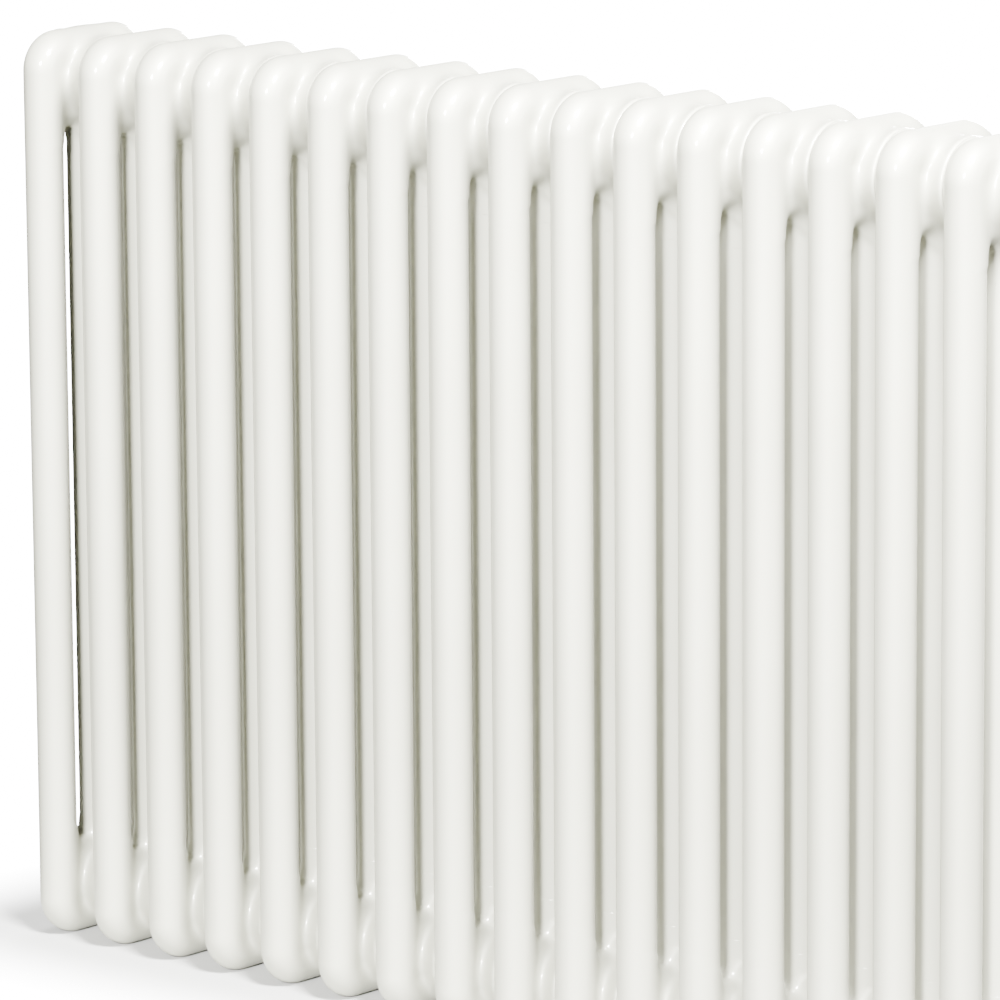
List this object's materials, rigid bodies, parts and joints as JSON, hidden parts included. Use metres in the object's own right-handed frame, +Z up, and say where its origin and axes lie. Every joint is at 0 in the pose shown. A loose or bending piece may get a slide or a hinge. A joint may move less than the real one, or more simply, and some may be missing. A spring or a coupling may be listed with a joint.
{
  "type": "column radiator",
  "caption": "Multi-column tubular hot-water radiator of welded sections with rounded heads, threaded end ports, a blind plug and a turning air vent.",
  "frame": {"origin": "on the resting surface, in the middle of the length and of the depth", "axes": "+X along the length towards the end with the two open ports, +Y from the front to the back, +Z up"},
  "size_m": [0.8252, 0.101, 0.6],
  "materials": {
    "white_enamel": "gloss white stove enamel on steel",
    "fitting_enamel": "gloss white enamel on a threaded fitting",
    "nickel_plate": "bright nickel plate on brass",
    "seal_rubber": "flat black sealing rubber",
    "spout_plastic": "white moulded plastic"
  },
  "bodies": {
    "radiator": {"top_head_01": "white_enamel", "top_head_02": "white_enamel", "top_head_03": "white_enamel", "top_head_04": "white_enamel", "top_head_05": "white_enamel", "top_head_06": "white_enamel", "top_head_07": "white_enamel", "top_head_08": "white_enamel", "top_head_09": "white_enamel", "top_head_10": "white_enamel", "top_head_11": "white_enamel", "top_head_12": "white_enamel", "top_head_13": "white_enamel", "top_head_14": "white_enamel", "top_head_15": "white_enamel", "top_head_16": "white_enamel", "bottom_head_01": "white_enamel", "bottom_head_02": "white_enamel", "bottom_head_03": "white_enamel", "bottom_head_04": "white_enamel", "bottom_head_05": "white_enamel", "bottom_head_06": "white_enamel", "bottom_head_07": "white_enamel", "bottom_head_08": "white_enamel", "bottom_head_09": "white_enamel", "bottom_head_10": "white_enamel", "bottom_head_11": "white_enamel", "bottom_head_12": "white_enamel", "bottom_head_13": "white_enamel", "bottom_head_14": "white_enamel", "bottom_head_15": "white_enamel", "bottom_head_16": "white_enamel", "tube_row_01": "white_enamel", "tube_row_02": "white_enamel", "tube_row_03": "white_enamel", "tube_row_04": "white_enamel", "tube_row_05": "white_enamel", "tube_row_06": "white_enamel", "tube_row_07": "white_enamel", "tube_row_08": "white_enamel", "tube_row_09": "white_enamel", "tube_row_10": "white_enamel", "tube_row_11": "white_enamel", "tube_row_12": "white_enamel", "tube_row_13": "white_enamel", "tube_row_14": "white_enamel", "tube_row_15": "white_enamel", "tube_row_16": "white_enamel", "flow_bush": "fitting_enamel", "return_bush": "fitting_enamel", "vent_bush": "fitting_enamel", "plug_bush": "fitting_enamel", "bush_gaskets": "seal_rubber", "blind_plug": "fitting_enamel", "plug_seal": "seal_rubber", "vent_body": "nickel_plate", "vent_seal": "seal_rubber"},
    "spout": {"vent_spout": "spout_plastic"},
    "screw_seat": {"bleed_screw_seat": "seal_rubber"},
    "screw": {"bleed_screw": "nickel_plate"}
  },
  "joints": [
    {"name": "spout_turn", "type": "hinge", "parent": "radiator", "child": "spout", "pos_m": [-0.40725, 0, 0.567], "axis": [-1, 0, 0], "continuous": true},
    {"name": "screw_lift", "type": "slide", "parent": "radiator", "child": "screw_seat", "axis": [-1, 0, 0], "range_m": [0, 0.0015]},
    {"name": "screw_turn", "type": "hinge", "parent": "screw_seat", "child": "screw", "pos_m": [-0.40725, 0, 0.567], "axis": [-1, 0, 0], "range_deg": [0, 540]}
  ],
  "couplings": [
    {"joint": "screw_turn", "follows": "screw_lift", "rad_per_m": 6283.2}
  ]
}
